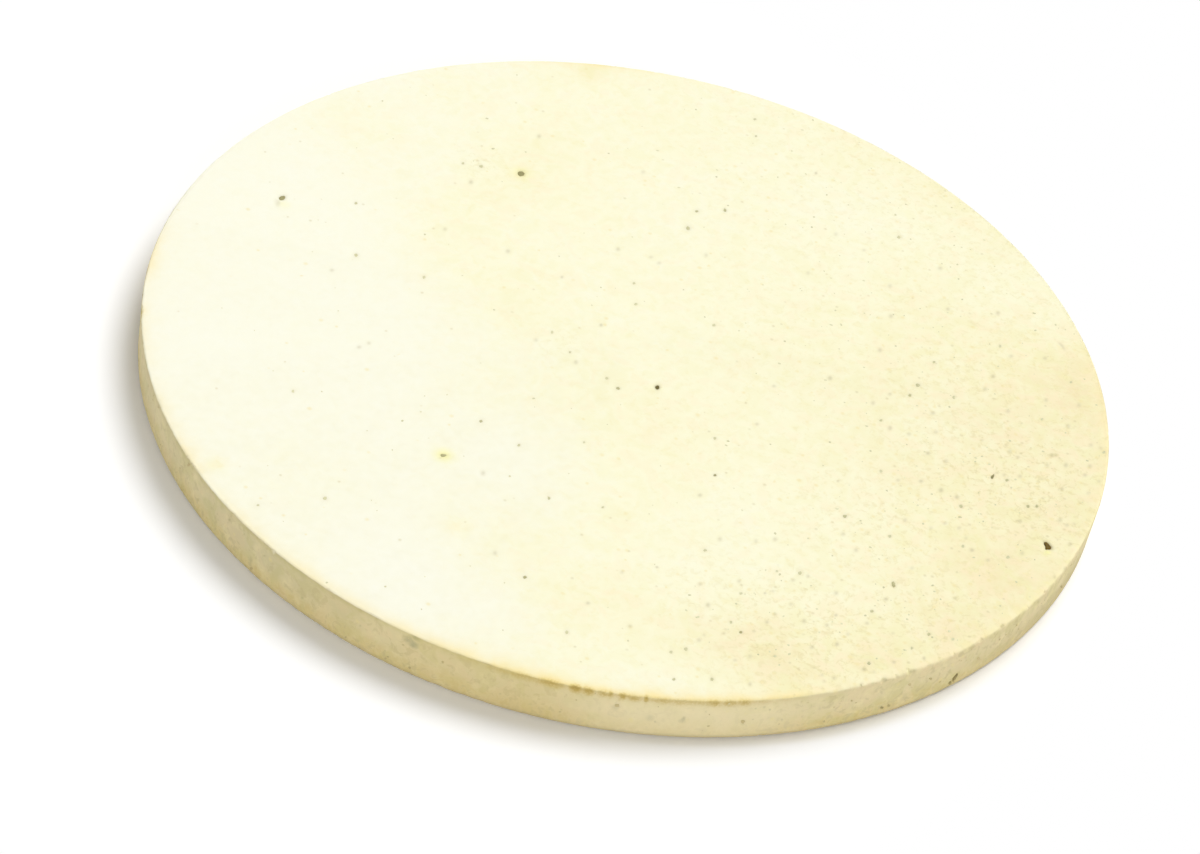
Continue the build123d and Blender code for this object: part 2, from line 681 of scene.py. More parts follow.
def rim_share(places):
    """How much each point belongs to the rim: 0 on the face, 1 on the rim, easing over the arris."""
    worn = worn_radius(places)
    from_side = np.maximum(worn - (stone_radius - np.hypot(places[:, 0], places[:, 1])), 0)
    from_top = np.maximum(worn - (stone_thickness - places[:, 2]), 0)
    turn = np.degrees(np.arctan2(from_side, from_top))
    turn += rim_tone_raggedness * noise_at(places, rim_tone_bump_size, 43)
    below = places[:, 2] < stone_thickness - worn
    return np.where(below, 1.0, smooth_step(turn, rim_tone_start, rim_tone_end))


def wear_arris(places):
    """Rounds the baking arris down to its worn radius."""
    worn = worn_radius(places)
    from_side = worn - (stone_radius - worn_side_inset - np.hypot(places[:, 0], places[:, 1]))
    from_top = worn - (stone_thickness - worn_top_inset - places[:, 2])
    reach = np.hypot(from_side, from_top)
    corner = (from_side > 0) & (from_top > 0) & (reach > worn)
    share = worn[corner] / reach[corner]
    radius = np.hypot(places[corner, 0], places[corner, 1])
    new_radius = radius - from_side[corner] * (1 - share)
    places[corner, :2] *= (new_radius / radius)[:, None]
    places[corner, 2] -= from_top[corner] * (1 - share)
    return places


def keep_inside(places):
    """Holds every point within the nominal outline."""
    radius = np.hypot(places[:, 0], places[:, 1])
    over = radius > stone_radius - tolerance
    places[over, :2] *= ((stone_radius - tolerance) / radius[over])[:, None]
    places[:, 2] = np.clip(places[:, 2], 0.0, stone_thickness)
    return places


# Broad tones of the face by pixel: across, down, reach in pixels, strength
# From the palest pixel to the deepest the face grows toasted and darker, partly as painted shade
palest_pixel = (190, 330)
deepest_pixel = (1085, 455)
toast_patches = [
    (505, 155, 70, 0.2), (455, 215, 60, 0.2), (500, 275, 60, 0.14), (1065, 385, 50, 0.1),
    (760, 645, 60, 0.29), (375, 140, 65, 0.12), (830, 200, 120, -0.13), (980, 300, 60, -0.15),
    (655, 625, 40, 0.14), (745, 495, 50, -0.08), (730, 560, 60, -0.05), (690, 682, 60, -0.12),
    (940, 430, 60, -0.12), (800, 685, 45, 0.2), (875, 660, 55, 0.3), (960, 640, 40, 0.16),
    (220, 335, 70, -0.04), (345, 105, 50, 0.07), (1040, 285, 70, -0.28), (430, 590, 80, -0.1),
    (520, 460, 85, -0.12), (560, 330, 45, 0.05), (990, 585, 75, 0.3), (618, 522, 16, 0.12),
    (700, 640, 25, 0.1), (590, 72, 16, 0.3), (216, 464, 9, 0.35), (458, 525, 13, 0.14),
    (640, 420, 90, 0.1), (850, 400, 60, 0.05), (521, 173, 16, 0.2), (300, 470, 60, 0.05),
    (580, 600, 45, 0.12), (640, 110, 60, 0.06), (930, 225, 80, -0.2), (430, 260, 50, 0.08),
    (445, 88, 45, 0.16), (490, 195, 30, 0.1), (520, 315, 30, 0.1), (505, 615, 40, -0.1),
    (1062, 330, 30, -0.14), (685, 660, 26, 0.1), (625, 590, 30, 0.08), (990, 612, 30, -0.1),
    (940, 585, 30, -0.1),
]
blush_patches = [
    (760, 645, 38, 0.9), (716, 645, 12, 0.9), (1000, 440, 85, 0.6), (1078, 400, 34, 0.9),
    (905, 470, 50, 0.4), (1050, 500, 60, 0.5), (700, 620, 22, 0.4), (960, 620, 60, 0.35),
]
speckle_patches = [
    (1020, 480, 130, 1.0), (960, 390, 100, 0.6), (810, 640, 110, 0.85), (930, 620, 100, 0.8),
    (880, 520, 120, 0.6), (720, 590, 80, 0.4), (480, 160, 30, 0.5), (560, 345, 30, 0.35),
    (690, 420, 90, 0.2),
]
toast_start = 0.05
# Rises of toast across the face, partly painted shade that grows away from the palest side: where each
# starts and ends, from pale side to deep, and its strength
toast_and_shade_rises = [(0.22, 0.42, 0.2), (0.45, 0.9, 0.2), (0.72, 1.02, 0.22)]
toast_wander = 0.07
toast_wander_size = 55 * mm
least_speckle = 0.06
speckle_rise = (0.35, 0.95, 0.3)


def patch_cover(locate, steepness):
    """A function for how strongly a soft patch round a pixel, by its reach in pixels, covers points."""
    def cover(points, pixel, reach_in_pixels):
        centre = locate(pixel)
        reach = reach_in_pixels * pixel_size(centre)
        return bell(np.linalg.norm(points - np.array(centre), axis=1) / reach, steepness)
    return cover


soft_patch = patch_cover(on_face, 2)
rim_patch = patch_cover(on_rim, 2)
firm_rim_patch = patch_cover(on_rim, 4)


def strongest(points, rows, cover):
    """The strongest of some covers at each point: rows of pixel across, down, size and strength."""
    tone = np.zeros(len(points))
    for px, py, size, strength in rows:
        tone = np.maximum(tone, strength * cover(points, (px, py), size))
    return tone


def face_tones(points):
    """Toasting with painted shade, blush and speckle of the skin at each point, from 0 to 1."""
    start = np.array(on_face(palest_pixel))
    run = np.array(on_face(deepest_pixel)) - start
    across = ((points - start) @ run) / (run @ run) + toast_wander * noise_at(points, toast_wander_size, 8)
    toast_and_shade = np.full(len(points), toast_start)
    for low, high, strength in toast_and_shade_rises:
        toast_and_shade += strength * smooth_step(across, low, high)
    for px, py, reach, strength in toast_patches:
        toast_and_shade += strength * soft_patch(points, (px, py), reach)
    low, high, strength = speckle_rise
    speckle = least_speckle + strength * smooth_step(across, low, high)
    speckle = np.maximum(speckle, strongest(points, speckle_patches, soft_patch))
    tones = {"toast_and_shade": toast_and_shade, "blush": strongest(points, blush_patches, soft_patch), "speckle": speckle}
    return {name: np.clip(values, 0, 1) for name, values in tones.items()}


# Brown stain along the baking arris: pixel across, down, half its length in millimetres, strength
arris_stains = [
    (265, 547, 8, 0.12), (350, 612, 6, 0.16), (430, 655, 8, 0.2), (465, 668, 8, 0.26), (497, 677, 7, 0.4),
    (522, 681, 7, 0.46), (550, 685, 6, 0.62), (576, 688, 2.5, 0.85), (588, 690, 2.5, 0.78),
    (604, 693, 3, 0.5), (611, 694, 1.2, 0.62), (623, 696, 2, 0.64), (634, 697, 4, 0.52),
    (647, 700, 0.8, 0.66), (662, 701, 6, 0.46), (682, 702, 8, 0.43), (701, 703, 6, 0.43),
    (712, 703, 3, 0.5), (719, 703, 1.2, 0.64), (731, 703, 4, 0.52), (746, 703, 3.5, 0.52),
    (762, 703, 6, 0.32), (785, 701, 8, 0.22), (1100, 390, 3, 0.3), (1105, 440, 14, 0.15),
    (600, 68, 8, 0.5), (733, 92, 1.5, 0.5), (146, 312, 3, 0.4),
]
# Yellow bloom inside the baking arris: pixel across, down, half its length in millimetres, strength
arris_blooms = [
    (150, 255, 16, 0.6), (146, 330, 20, 0.35), (168, 415, 16, 0.45), (190, 455, 14, 0.6),
    (250, 530, 20, 0.55), (300, 575, 16, 0.6), (350, 610, 16, 0.5), (400, 637, 16, 0.62),
    (450, 660, 16, 0.75), (500, 678, 14, 0.85), (555, 686, 10, 1.0), (600, 692, 10, 0.75),
    (650, 700, 12, 0.95), (700, 703, 12, 0.8), (745, 703, 8, 0.7), (1107, 430, 45, 0.4),
    (600, 68, 30, 0.4), (1000, 620, 40, 0.3), (785, 701, 14, 0.85),
]
# Thin dark lines down the rim along the arris in front, and painted shade along the far arris: pixel
# across, down, half its length in millimetres, strength
arris_lines_and_shade = [
    (165, 205, 26, 0.5), (146, 290, 26, 0.5), (160, 400, 26, 0.8), (200, 472, 26, 0.9),
    (265, 545, 26, 1.0), (340, 605, 26, 1.0), (420, 650, 24, 0.9), (490, 676, 16, 0.6),
    (915, 173, 14, 0.35), (960, 215, 22, 0.55), (1000, 252, 22, 0.6), (1045, 300, 26, 0.7),
    (1082, 350, 26, 0.7), (1103, 400, 26, 0.7), (1110, 450, 20, 0.6), (730, 92, 6, 0.4),
    (1100, 520, 16, 0.3),
]
# Shapes of the marks in the clay, and of the painted shade inside the far arris
bloom_reach = 3.0 * mm
bloom_foot = 2 * mm
bloom_noises = [(6 * mm, 33, 0.5)]
stain_drop = 1.2 * mm
stain_core = 1.15 * mm
stain_core_strength = 0.42
stain_core_flatness = 1.3
stain_reach = 2.3 * mm
stain_skirt_strength = 0.66
stain_skirt_flatness = 1.1
line_drop = 1.1 * mm
line_width = 0.8 * mm
far_shade_line_width = 1.1 * mm
line_foot = 3 * mm
soft_steepness = 1.5
iron_steepness = 2.4
# Ragged edges, and the level of a broken mark with how much the raggedness changes it
ragged_noises = [(2.2 * mm, 31, 0.5), (0.8 * mm, 32, 0.2)]
core_raggedness = 0.45
skirt_raggedness = 0.4
line_raggedness = 0.4
stain_breaks = (0.95, 0.4)
line_breaks = (0.7, 0.8)
# Iron in the clay round a spot: its reach by the spot's own, and its strength by the spot's darkness
faint_mark = (1.0, 2.0)
grain_halo = (1.4, 0.9)
outlined_halo = (1.15, 0.9)


def broken(ragged, level, change):
    """Cover from 0 to 1 of a mark that breaks up where the raggedness is low."""
    return np.clip(level + change * ragged, 0, 1)


def along_arris(points, pixel, half_length):
    """Cover from 0 to 1 of a stretch of the arris whose middle is at a pixel."""
    turn = turn_from(points, bearing_of(on_face(pixel)))
    return bell(turn * stone_radius / (half_length * mm))


# Grey scuffs of the rim, with broad faint painted shade along one stretch of it, and yellow rings round
# spots: pixel across, down, reach in pixels, strength
rim_scuffs_and_shade = [
    (408, 640, 5, 0.8), (413, 645, 5, 0.8), (415, 638, 4, 0.7), (683, 720, 2.5, 0.5), (650, 718, 5, 0.25),
    (250, 560, 4, 0.3), (905, 697, 5, 0.25), (615, 708, 4, 0.25), (150, 385, 30, 0.16),
    (175, 443, 30, 0.12), (216, 500, 30, 0.2), (243, 528, 30, 0.24), (272, 555, 30, 0.28),
    (305, 580, 30, 0.26), (342, 603, 28, 0.2),
]
yellow_rings = [
    (444, 455, 9, 0.9), (521, 173, 8, 0.6), (657, 387, 5, 0.2), (1048, 552, 3.4, 1.0), (283, 204, 6, 0.3),
]
# Stretches of the rim with painted light, and with painted shade in warm bounce light, written the same way
painted_light_rim_stretches = [(690, 716, 115, 1.0), (150, 400, 70, 0.4)]
warm_shade_rim_stretches = [(450, 668, 90, 0.45), (520, 703, 60, 0.6), (340, 625, 70, 0.35)]
# Painted shade low on the rim round one bearing: the bearing, its spread, and the drops below the face
# where it starts and is full
foot_shade_bearing = math.radians(342)
foot_shade_spread = math.radians(22)
foot_shade_start = 4 * mm
foot_shade_end = 14 * mm
rim_tone_inset = 5 * mm
full_rim_tone_inset = 1 * mm


def iron_tone(points):
    """Faint spots in the clay, and the halo round each grain."""
    tone = np.zeros(len(points))
    for spot in all_spots:
        if spot.darkness <= least_grain_darkness:
            reach, strength = faint_mark
        elif spot.corners is None:
            reach, strength = grain_halo
        else:
            reach, strength = outlined_halo
        cover = bell(spot_distance(points, spot) / reach, iron_steepness)
        tone = np.maximum(tone, strength * spot.darkness * cover)
    return tone


def stain_tone(points, inward, drop, ragged):
    """Brown stain of the arris: a narrow core in a wide skirt."""
    below = drop - stain_drop
    from_core = np.hypot(stain_core_flatness * inward, below)
    from_arris = np.hypot(inward, stain_skirt_flatness * np.maximum(below, 0))
    core_width = stain_core * (1 + core_raggedness * ragged)
    skirt_width = stain_reach * (1 + skirt_raggedness * ragged)
    core = stain_core_strength * bell(from_core / core_width)
    skirt = stain_skirt_strength * bell(from_arris / skirt_width, soft_steepness)
    stain = strongest(points, arris_stains, along_arris)
    return stain * (core + skirt) * broken(ragged, *stain_breaks)


def bloom_tone(points, inward, drop):
    """Yellow bloom that fades inwards from the arris."""
    width = bloom_reach * (1 + noises_at(points, bloom_noises))
    bloom = strongest(points, arris_blooms, along_arris)
    return bloom * bell(inward / width, soft_steepness) * (drop < bloom_foot)


def line_tone(points, inset, drop, ragged):
    """Broken dark streak down the rim in front, and painted shade inside the arris behind."""
    facing = points @ np.array(camera_place - face_middle) > 0
    away = np.where(facing, (drop - line_drop) / line_width, inset / far_shade_line_width)
    line_and_shade = strongest(points, arris_lines_and_shade, along_arris) * (drop < line_foot)
    return line_and_shade * bell(away * (1 - line_raggedness * ragged)) * broken(ragged, *line_breaks)


def mark_tones(points):
    """Marks of the face, the arris and the rim at each point, from 0 to 1, with painted light and painted
    shade among them.
    """
    radius = np.hypot(points[:, 0], points[:, 1])
    inset = stone_radius - radius
    inward = np.maximum(inset, 0)
    drop = stone_thickness - points[:, 2]
    ragged = noises_at(points, ragged_noises)
    by_rim = smooth_step(radius, stone_radius - rim_tone_inset, stone_radius - full_rim_tone_inset)
    painted_foot_shade = bell(turn_from(points, foot_shade_bearing) / foot_shade_spread)
    tones = {
        "iron": iron_tone(points),
        "stain": stain_tone(points, inward, drop, ragged),
        "bloom": bloom_tone(points, inward, drop),
        "line_and_shade": line_tone(points, inset, drop, ragged),
        "ring": strongest(points, yellow_rings, soft_patch),
        # Grey scuffs of the rim, and broad painted shade along one stretch of it
        "scuff_and_shade": strongest(points, rim_scuffs_and_shade, firm_rim_patch),
        # Painted light on stretches of the rim
        "pale": strongest(points, painted_light_rim_stretches, firm_rim_patch) * by_rim,
        # Painted shade in warm bounce light on stretches of the rim
        "ochre_and_shade": strongest(points, warm_shade_rim_stretches, rim_patch) * by_rim,
        # Painted shade low on the rim towards one side
        "painted_foot_shade": painted_foot_shade * smooth_step(drop, foot_shade_start, foot_shade_end) * by_rim,
    }
    return {name: np.clip(values, 0, 1) for name, values in tones.items()}


def add_attribute(mesh, name, values):
    attribute = mesh.attributes.new(name, "FLOAT", "POINT")
    attribute.data.foreach_set("value", values.astype(np.float32))


def new_piece(name, places, triangles, material):
    """A smooth-shaded mesh object."""
    mesh = bpy.data.meshes.new(name)
    mesh.from_pydata(places.tolist(), [], triangles.tolist())
    mesh.validate()
    mesh.polygons.foreach_set("use_smooth", [True] * len(mesh.polygons))
    mesh.materials.append(material)
    piece = bpy.data.objects.new(name, mesh)
    bpy.context.scene.collection.objects.link(piece)
    return piece


def colour(red, green, blue):
    """A shader colour from its 0 to 255 screen values."""
    def linear(value):
        share = value / 255
        return share / 12.92 if share <= 0.04045 else ((share + 0.055) / 1.055) ** 2.4
    return (linear(red), linear(green), linear(blue), 1)


# Dots: how a seed shifts them, the least by the largest, and where their soft edge starts
dot_shift = (1, 0.7, 1.3)
least_dot = 0.45
dot_core = 0.1


class Nodes:
    """Builds one node tree. Most methods add one or more nodes and return the last one's output."""

    def __init__(self, tree):
        self.tree = tree

    def fill(self, node, inputs):
        """Puts values or other nodes' outputs on a node's inputs."""
        for socket, value in inputs.items():
            if isinstance(value, bpy.types.NodeSocket):
                self.tree.links.new(value, node.inputs[socket])
            else:
                node.inputs[socket].default_value = value

    def add(self, kind, inputs=None, **settings):
        """A node with its settings and inputs."""
        node = self.tree.nodes.new("ShaderNode" + kind)
        for name, value in settings.items():
            setattr(node, name, value)
        self.fill(node, inputs or {})
        return node

    def place(self):
        return self.add("TexCoord").outputs["Object"]

    def height(self, place):
        return self.add("SeparateXYZ", {0: place}).outputs[2]

    def tone(self, name):
        return self.add("Attribute", attribute_name=name).outputs["Fac"]

    def noise(self, place, size, detail, rough, warp=0.0):
        inputs = {"Vector": place, "Scale": 1 / size, "Detail": detail}
        inputs.update({"Roughness": rough, "Distortion": warp})
        return self.add("TexNoise", inputs).outputs[0]

    def sums(self, operation, one, two=0.0, three=0.0, clamp=False):
        inputs = {0: one, 1: two, 2: three}
        return self.add("Math", inputs, operation=operation, use_clamp=clamp).outputs[0]

    def times(self, one, two):
        return self.sums("MULTIPLY", one, two)

    def eased(self, value, low, high, to_low=0.0, to_high=1.0):
        inputs = {"Value": value, "From Min": low, "From Max": high, "To Min": to_low, "To Max": to_high}
        return self.add("MapRange", inputs, interpolation_type="SMOOTHSTEP").outputs[0]

    def mixed(self, share, one, two):
        return self.add("Mix", {0: share, 6: one, 7: two}, data_type="RGBA").outputs[2]

    def layered(self, base, layers):
        """A colour with others laid over it in turn, each by its own cover."""
        for cover, tint in layers:
            base = self.mixed(cover, base, tint)
        return base

    def ramp(self, share, stops):
        node = self.add("ValToRGB", {0: share})
        bar = node.color_ramp
        while len(bar.elements) < len(stops):
            bar.elements.new(0.5)
        for element, (position, tint) in zip(bar.elements, stops):
            element.position = position
            element.color = colour(*tint)
        return node.outputs[0]

    def bump(self, height, strength, distance):
        inputs = {"Strength": strength, "Distance": distance, "Height": height}
        return self.add("Bump", inputs).outputs[0]

    def dots(self, place, cell, radius, share, seed):
        """Round dots in some of the cells of a scattered grid: their cover and their tone."""
        shift = tuple(seed * step for step in dot_shift)
        shifted = self.add("VectorMath", {0: place, 1: shift}).outputs[0]
        cells = self.add("TexVoronoi", {"Vector": shifted, "Scale": 1 / cell, "Randomness": 1.0})
        parts = self.add("SeparateColor", {0: cells.outputs["Color"]})
        chosen = self.sums("LESS_THAN", parts.outputs[0], share)
        size = self.eased(parts.outputs[1], 0, 1, least_dot * radius / cell, radius / cell)
        edge = self.sums("DIVIDE", cells.outputs["Distance"], size)
        cover = self.eased(edge, dot_core, 1.0, 1.0, 0.0)
        return self.times(cover, chosen), parts.outputs[2]


def new_material(name):
    """A new material, a builder for its nodes, and its shader."""
    material = bpy.data.materials.new(name)
    material.use_nodes = True
    return material, Nodes(material.node_tree), material.node_tree.nodes["Principled BSDF"]


Clay = namedtuple("Clay", "clouds mottle hue blots wisps curls grain")


def clay_noises(nodes, place):
    """The noises that the clay's tones share, from broad clouds to its grain."""
    return Clay(
        clouds=nodes.noise(place, 26 * mm, 4, 0.6, 0.4),
        mottle=nodes.noise(place, 5 * mm, 5, 0.65),
        hue=nodes.noise(place, 8 * mm, 2, 0.5, 0.5),
        blots=nodes.noise(place, 3.2 * mm, 3, 0.6, 0.6),
        wisps=nodes.noise(place, 2.0 * mm, 2, 0.5, 0.6),
        curls=nodes.noise(place, 3.4 * mm, 1, 0.5, 1.4),
        grain=nodes.noise(place, 0.7 * mm, 3, 0.6),
    )


def face_colour(nodes, clay, warmth_and_shade):
    """Cream clay, toasted and darker where its toasting runs high, partly as painted shade, in peach, olive
    and lemon clouds, with blush and bloom.
    """
    cloudy = nodes.sums("MULTIPLY_ADD", clay.clouds, 0.34, -0.42)
    cloudy = nodes.sums("MULTIPLY_ADD", clay.mottle, 0.5, cloudy)
    cloudy = nodes.times(cloudy, nodes.eased(warmth_and_shade, 0.05, 0.6, 0.3, 1.1))
    toast_and_shade = nodes.sums("ADD", nodes.sums("ADD", warmth_and_shade, cloudy), 0.02, clamp=True)
    face = nodes.ramp(toast_and_shade, [
        (0.0, (252, 251, 234)),
        (0.3, (252, 249, 217)),
        (0.62, (250, 243, 203)),
        (1.0, (244, 230, 182)),
    ])
    peach = nodes.times(nodes.eased(clay.hue, 0.5, 0.66, 0.0, 0.65), warmth_and_shade)
    olive = nodes.times(nodes.eased(clay.hue, 0.34, 0.5, 0.6, 0.0), warmth_and_shade)
    lemon = nodes.times(nodes.eased(clay.blots, 0.5, 0.68, 0.0, 0.5), warmth_and_shade)
    blush = nodes.times(nodes.tone("blush"), nodes.eased(clay.mottle, 0.35, 0.65, 0.3, 1.0))
    bloom = nodes.times(nodes.tone("bloom"), nodes.eased(clay.mottle, 0.3, 0.6, 0.72, 1.0))
    return nodes.layered(face, [
        (peach, colour(252, 236, 198)),
        (olive, colour(243, 238, 184)),
        (lemon, colour(244, 233, 172)),
        (nodes.times(blush, 0.28), colour(242, 216, 176)),
        (bloom, colour(252, 231, 162)),
        (nodes.tone("ring"), colour(252, 248, 176)),
    ])


def rim_colour(nodes, clay, height):
    """Greyish tan above, yellower towards the underside, in pink and olive blotches, with painted light and
    painted shade on stretches of it and painted shade along its foot.
    """
    band = nodes.sums("MULTIPLY_ADD", clay.clouds, 6 * mm, height)
    band = nodes.sums("MULTIPLY_ADD", clay.mottle, 6 * mm, band)
    upper = nodes.eased(band, 8 * mm, 16 * mm)
    lower = nodes.sums("SUBTRACT", 1.0, upper)
    # Ochre blots low on the rim, the clay's own colour
    ochre_and_shade = nodes.times(lower, nodes.eased(clay.blots, 0.48, 0.66, 0.0, 0.4))
    scuff_and_shade = nodes.times(nodes.tone("scuff_and_shade"), nodes.eased(clay.blots, 0.35, 0.6, 0.65, 1.0))
    under_tone = nodes.ramp(clay.clouds, [
        (0.3, (227, 211, 159)),
        (0.5, (233, 218, 167)),
        (0.7, (240, 227, 180)),
    ])
    return nodes.layered(nodes.mixed(upper, colour(231, 213, 153), colour(230, 216, 170)), [
        (nodes.eased(clay.hue, 0.52, 0.64, 0.0, 0.4), colour(237, 216, 172)),
        (nodes.eased(clay.hue, 0.38, 0.5, 0.45, 0.0), colour(216, 206, 144)),
        (nodes.eased(clay.mottle, 0.48, 0.7, 0.0, 0.5), colour(246, 232, 182)),
        (ochre_and_shade, colour(214, 192, 124)),
        (nodes.eased(clay.blots, 0.34, 0.48, 0.55, 0.0), colour(208, 193, 144)),
        # Painted light on stretches of the rim
        (nodes.times(nodes.tone("pale"), 0.6), colour(246, 232, 188)),
        # Painted shade in warm bounce light on stretches of the rim
        (nodes.times(nodes.tone("ochre_and_shade"), 0.7), colour(218, 196, 128)),
        # Painted shade low on the rim towards one side
        (nodes.times(nodes.tone("painted_foot_shade"), 0.66), colour(198, 184, 140)),
        # Grey scuffs of the rim, and broad painted shade along one stretch of it
        (scuff_and_shade, colour(176, 170, 128)),
        # Painted shade along the foot of the rim, darkest next to the underside
        (nodes.eased(height, 0.6 * mm, 2.6 * mm, 0.45, 0.0), colour(198, 180, 132)),
        (nodes.eased(height, 0.12 * mm, 0.3 * mm, 0.6, 0.0), under_tone),
    ])


def speckle_covers(nodes, place, clay, density):
    """Cover of soft wisps, short curls, flecks and specks, densest where toasted, and the specks' tone."""
    wisps = nodes.times(density, nodes.eased(clay.wisps, 0.54, 0.72, 0.0, 0.5))
    curl_line = nodes.sums("ABSOLUTE", nodes.sums("SUBTRACT", clay.curls, 0.5))
    curls = nodes.times(nodes.eased(curl_line, 0.01, 0.06, 1.0, 0.0), nodes.eased(clay.blots, 0.52, 0.62))
    curls = nodes.times(curls, nodes.times(density, 0.3))
    flecks, _ = nodes.dots(place, 2.8 * mm, 1.3 * mm, nodes.times(density, 0.5), 5.3)
    specks, speck_tone = nodes.dots(place, 2.6 * mm, 0.95 * mm, nodes.times(density, 0.33), 3.1)
    return wisps, curls, flecks, specks, speck_tone


def iron_layer(nodes, clay):
    """Cover and colour of the iron marks."""
    iron = nodes.times(nodes.tone("iron"), nodes.eased(clay.mottle, 0.3, 0.7, 0.7, 1.0))
    return iron, nodes.ramp(iron, [
        (0.0, (212, 200, 152)),
        (0.5, (150, 138, 88)),
        (1.0, (92, 82, 34)),
    ])


def stain_layer(nodes, clay, side):
    """Cover and colour of the brown stain, on the face and on the rim."""
    stain = nodes.times(nodes.tone("stain"), nodes.eased(clay.grain, 0.3, 0.62, 0.75, 1.0))
    on_the_face = nodes.ramp(stain, [
        (0.0, (252, 236, 162)),
        (0.35, (236, 212, 130)),
        (0.65, (202, 174, 100)),
        (1.0, (158, 130, 68)),
    ])
    on_the_rim = nodes.ramp(stain, [
        (0.0, (216, 198, 130)),
        (0.35, (208, 184, 110)),
        (0.7, (194, 166, 92)),
        (1.0, (158, 130, 66)),
    ])
    return nodes.eased(stain, 0, 0.6), nodes.mixed(side, on_the_face, on_the_rim)


def fired_body():
    """Pale cream fired clay, toasted and darker towards one side, partly as painted shade, with a tan rim
    that carries painted light and painted shade, and iron speckle.
    """
    material, nodes, shader = new_material("fired_body")
    place = nodes.place()
    clay = clay_noises(nodes, place)
    warmth_and_shade = nodes.tone("toast_and_shade")
    side = nodes.tone("side")
    wisps, curls, flecks, specks, speck_tone = speckle_covers(nodes, place, clay, nodes.tone("speckle"))
    speck_colour = nodes.ramp(speck_tone, [
        (0.0, (176, 168, 114)),
        (0.5, (206, 194, 138)),
        (0.85, (218, 190, 134)),
    ])
    on_the_face = face_colour(nodes, clay, warmth_and_shade)
    on_the_rim = rim_colour(nodes, clay, nodes.height(place))
    line_and_shade_colour = nodes.mixed(side, colour(222, 214, 164), colour(194, 184, 122))
    tooth_cover = nodes.eased(clay.grain, 0.56, 0.8, 0.0, 0.09)
    tooth_cover = nodes.times(tooth_cover, nodes.eased(warmth_and_shade, 0, 0.5, 0.4, 1))
    tint = nodes.layered(nodes.mixed(side, on_the_face, on_the_rim), [
        # Dark lines down the rim in front, and painted shade inside the far arris
        (nodes.times(nodes.tone("line_and_shade"), 0.5), line_and_shade_colour),
        (wisps, colour(226, 213, 152)),
        (curls, colour(208, 196, 138)),
        (nodes.times(flecks, 0.45), colour(240, 225, 158)),
        (nodes.times(specks, 0.38), speck_colour),
        (tooth_cover, colour(222, 206, 156)),
        iron_layer(nodes, clay),
        stain_layer(nodes, clay, side),
    ])
    tooth = nodes.sums("MULTIPLY_ADD", clay.grain, 1.0, nodes.times(clay.mottle, 0.8))
    tooth = nodes.sums("SUBTRACT", tooth, nodes.times(specks, 0.5))
    nodes.fill(shader, {
        "Base Color": tint,
        "Roughness": nodes.eased(clay.grain, 0.3, 0.7, 0.8, 0.95),
        "Specular IOR Level": 0.3,
        "Normal": nodes.bump(tooth, 0.6, 0.06 * mm),
    })
    return material


sharpest_smooth_turn = math.radians(38)


def make_stone():
    """The fired disc: its worn and chipped skin, and the tones on it."""
    nominal, outward, triangles = stone_mesh_arrays()
    places = nominal - outward * skin_depth(nominal, outward)[:, None]
    places = wear_arris(places)
    places = carve_pits(places, nominal, outward)
    places = carve_chips(places)
    places = keep_inside(places)
    stone = new_piece("stone_body", places, triangles, fired_body())
    stone.data.set_sharp_from_angle(angle=sharpest_smooth_turn)
    tones = {**face_tones(nominal), "side": rim_share(nominal), **mark_tones(nominal)}
    for name, values in tones.items():
        add_attribute(stone.data, name, values)
    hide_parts("stone_disc")
    return stone


# Grains are lumps with a flattened top
grain_share_of_spot = 0.88
grain_depth_share = 0.5
grain_top = 0.55
grain_sink = 0.04 * mm
fine_face_grain_sink = 0.02 * mm
lump_size = 1.3
lump_height = 0.4
outlined_lump_height = 0.12


def unit_ball(subdivisions):
    """Points and triangles of a unit icosphere."""
    ball = bmesh.new()
    bmesh.ops.create_icosphere(ball, subdivisions=subdivisions, radius=1.0)
    points = np.array([vert.co[:] for vert in ball.verts])
    triangles = np.array([[vert.index for vert in face.verts] for face in ball.faces])
    ball.free()
    return points, triangles


def lump_points(ball, grain, shift, turn):
    """The points of a ball made into one grain."""
    swell = np.array([noise.noise(Vector(point) * lump_size + shift) for point in ball])
    lump = ball * (1 + lump_height * swell)[:, None]
    lump[:, 2] = np.minimum(lump[:, 2], grain_top)
    if grain.corners is None:
        lump = lump @ np.array(Matrix.Rotation(turn, 3, "Z")).T
    else:
        reach = outline_reach(grain.corners, np.arctan2(ball[:, 1], ball[:, 0]))
        lump[:, :2] = ball[:, :2] * (1 + outlined_lump_height * swell)[:, None] * reach[:, None]
    lump = lump @ np.array([grain.across, grain.up, grain.outward * grain.half_depth])
    return lump + np.array(grain.place)


def lumpy_grains(name, grains, subdivisions, seed, material):
    """One piece of many small lumps, each flattened under the skin, that keep their darkness."""
    ball, faces = unit_ball(subdivisions)
    all_points = []
    all_faces = []
    for number, grain in enumerate(grains):
        turn = random.Random(f"{seed}-{number}").random() * math.tau
        shift = Vector((number * 3.7 + seed, number * 1.3, seed * 2.1))
        all_points.append(lump_points(ball, grain, shift, turn))
        all_faces.append(faces + number * len(ball))
    piece = new_piece(name, keep_inside(np.concatenate(all_points)), np.concatenate(all_faces), material)
    darkness = np.repeat([grain.darkness for grain in grains], len(ball))
    add_attribute(piece.data, "darkness", darkness)
    return piece


def sunk_grain(spot, sink):
    """A grain whose flat top lies a little below the skin."""
    outward = straight_out(spot.place)
    half_depth = min(spot.across.length, spot.up.length) * grain_depth_share
    centre = spot.place - outward * (sink + grain_top * half_depth)
    across = spot.across * grain_share_of_spot
    up = spot.up * grain_share_of_spot
    return Grain(centre, across, up, outward, half_depth, spot.darkness, spot.corners)


